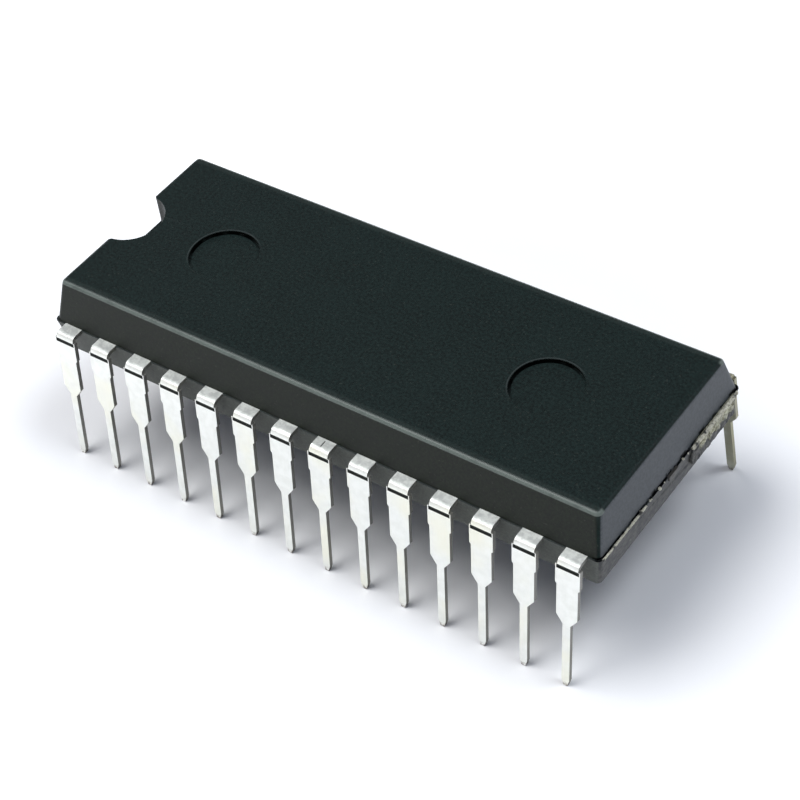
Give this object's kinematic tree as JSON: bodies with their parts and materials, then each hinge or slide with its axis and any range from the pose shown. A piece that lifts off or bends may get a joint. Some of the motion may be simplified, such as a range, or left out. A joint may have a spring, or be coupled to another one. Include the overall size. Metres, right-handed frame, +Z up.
{
  "type": "dual in-line package",
  "caption": "Moulded plastic dual in-line package with an end notch, two ejector marks and two rows of bent, tapered leads.",
  "frame": {"origin": "under the middle of the body, in the plane of the lead tips", "axes": "+X along the package away from the notched end, +Y from the near row of leads to the far one, +Z up"},
  "size_m": [0.0361, 0.0174, 0.011],
  "materials": {
    "resin": "matt moulding compound, dark greenish grey, finely mottled",
    "tinned": "tin-plated copper alloy, satin, brighter on the bends",
    "copper": "bare copper alloy of the lead frame",
    "epoxy": "silver-filled epoxy",
    "silicon": "polished silicon",
    "gold": "drawn gold wire"
  },
  "bodies": {
    "root": {"body": "resin", "lead_01": "tinned", "lead_02": "tinned", "lead_03": "tinned", "lead_04": "tinned", "lead_05": "tinned", "lead_06": "tinned", "lead_07": "tinned", "lead_08": "tinned", "lead_09": "tinned", "lead_10": "tinned", "lead_11": "tinned", "lead_12": "tinned", "lead_13": "tinned", "lead_14": "tinned", "lead_15": "tinned", "lead_16": "tinned", "lead_17": "tinned", "lead_18": "tinned", "lead_19": "tinned", "lead_20": "tinned", "lead_21": "tinned", "lead_22": "tinned", "lead_23": "tinned", "lead_24": "tinned", "lead_25": "tinned", "lead_26": "tinned", "lead_27": "tinned", "lead_28": "tinned", "die_pad": "copper", "die_attach": "epoxy", "die": "silicon", "bond_wires": "gold"}
  },
  "joints": []
}
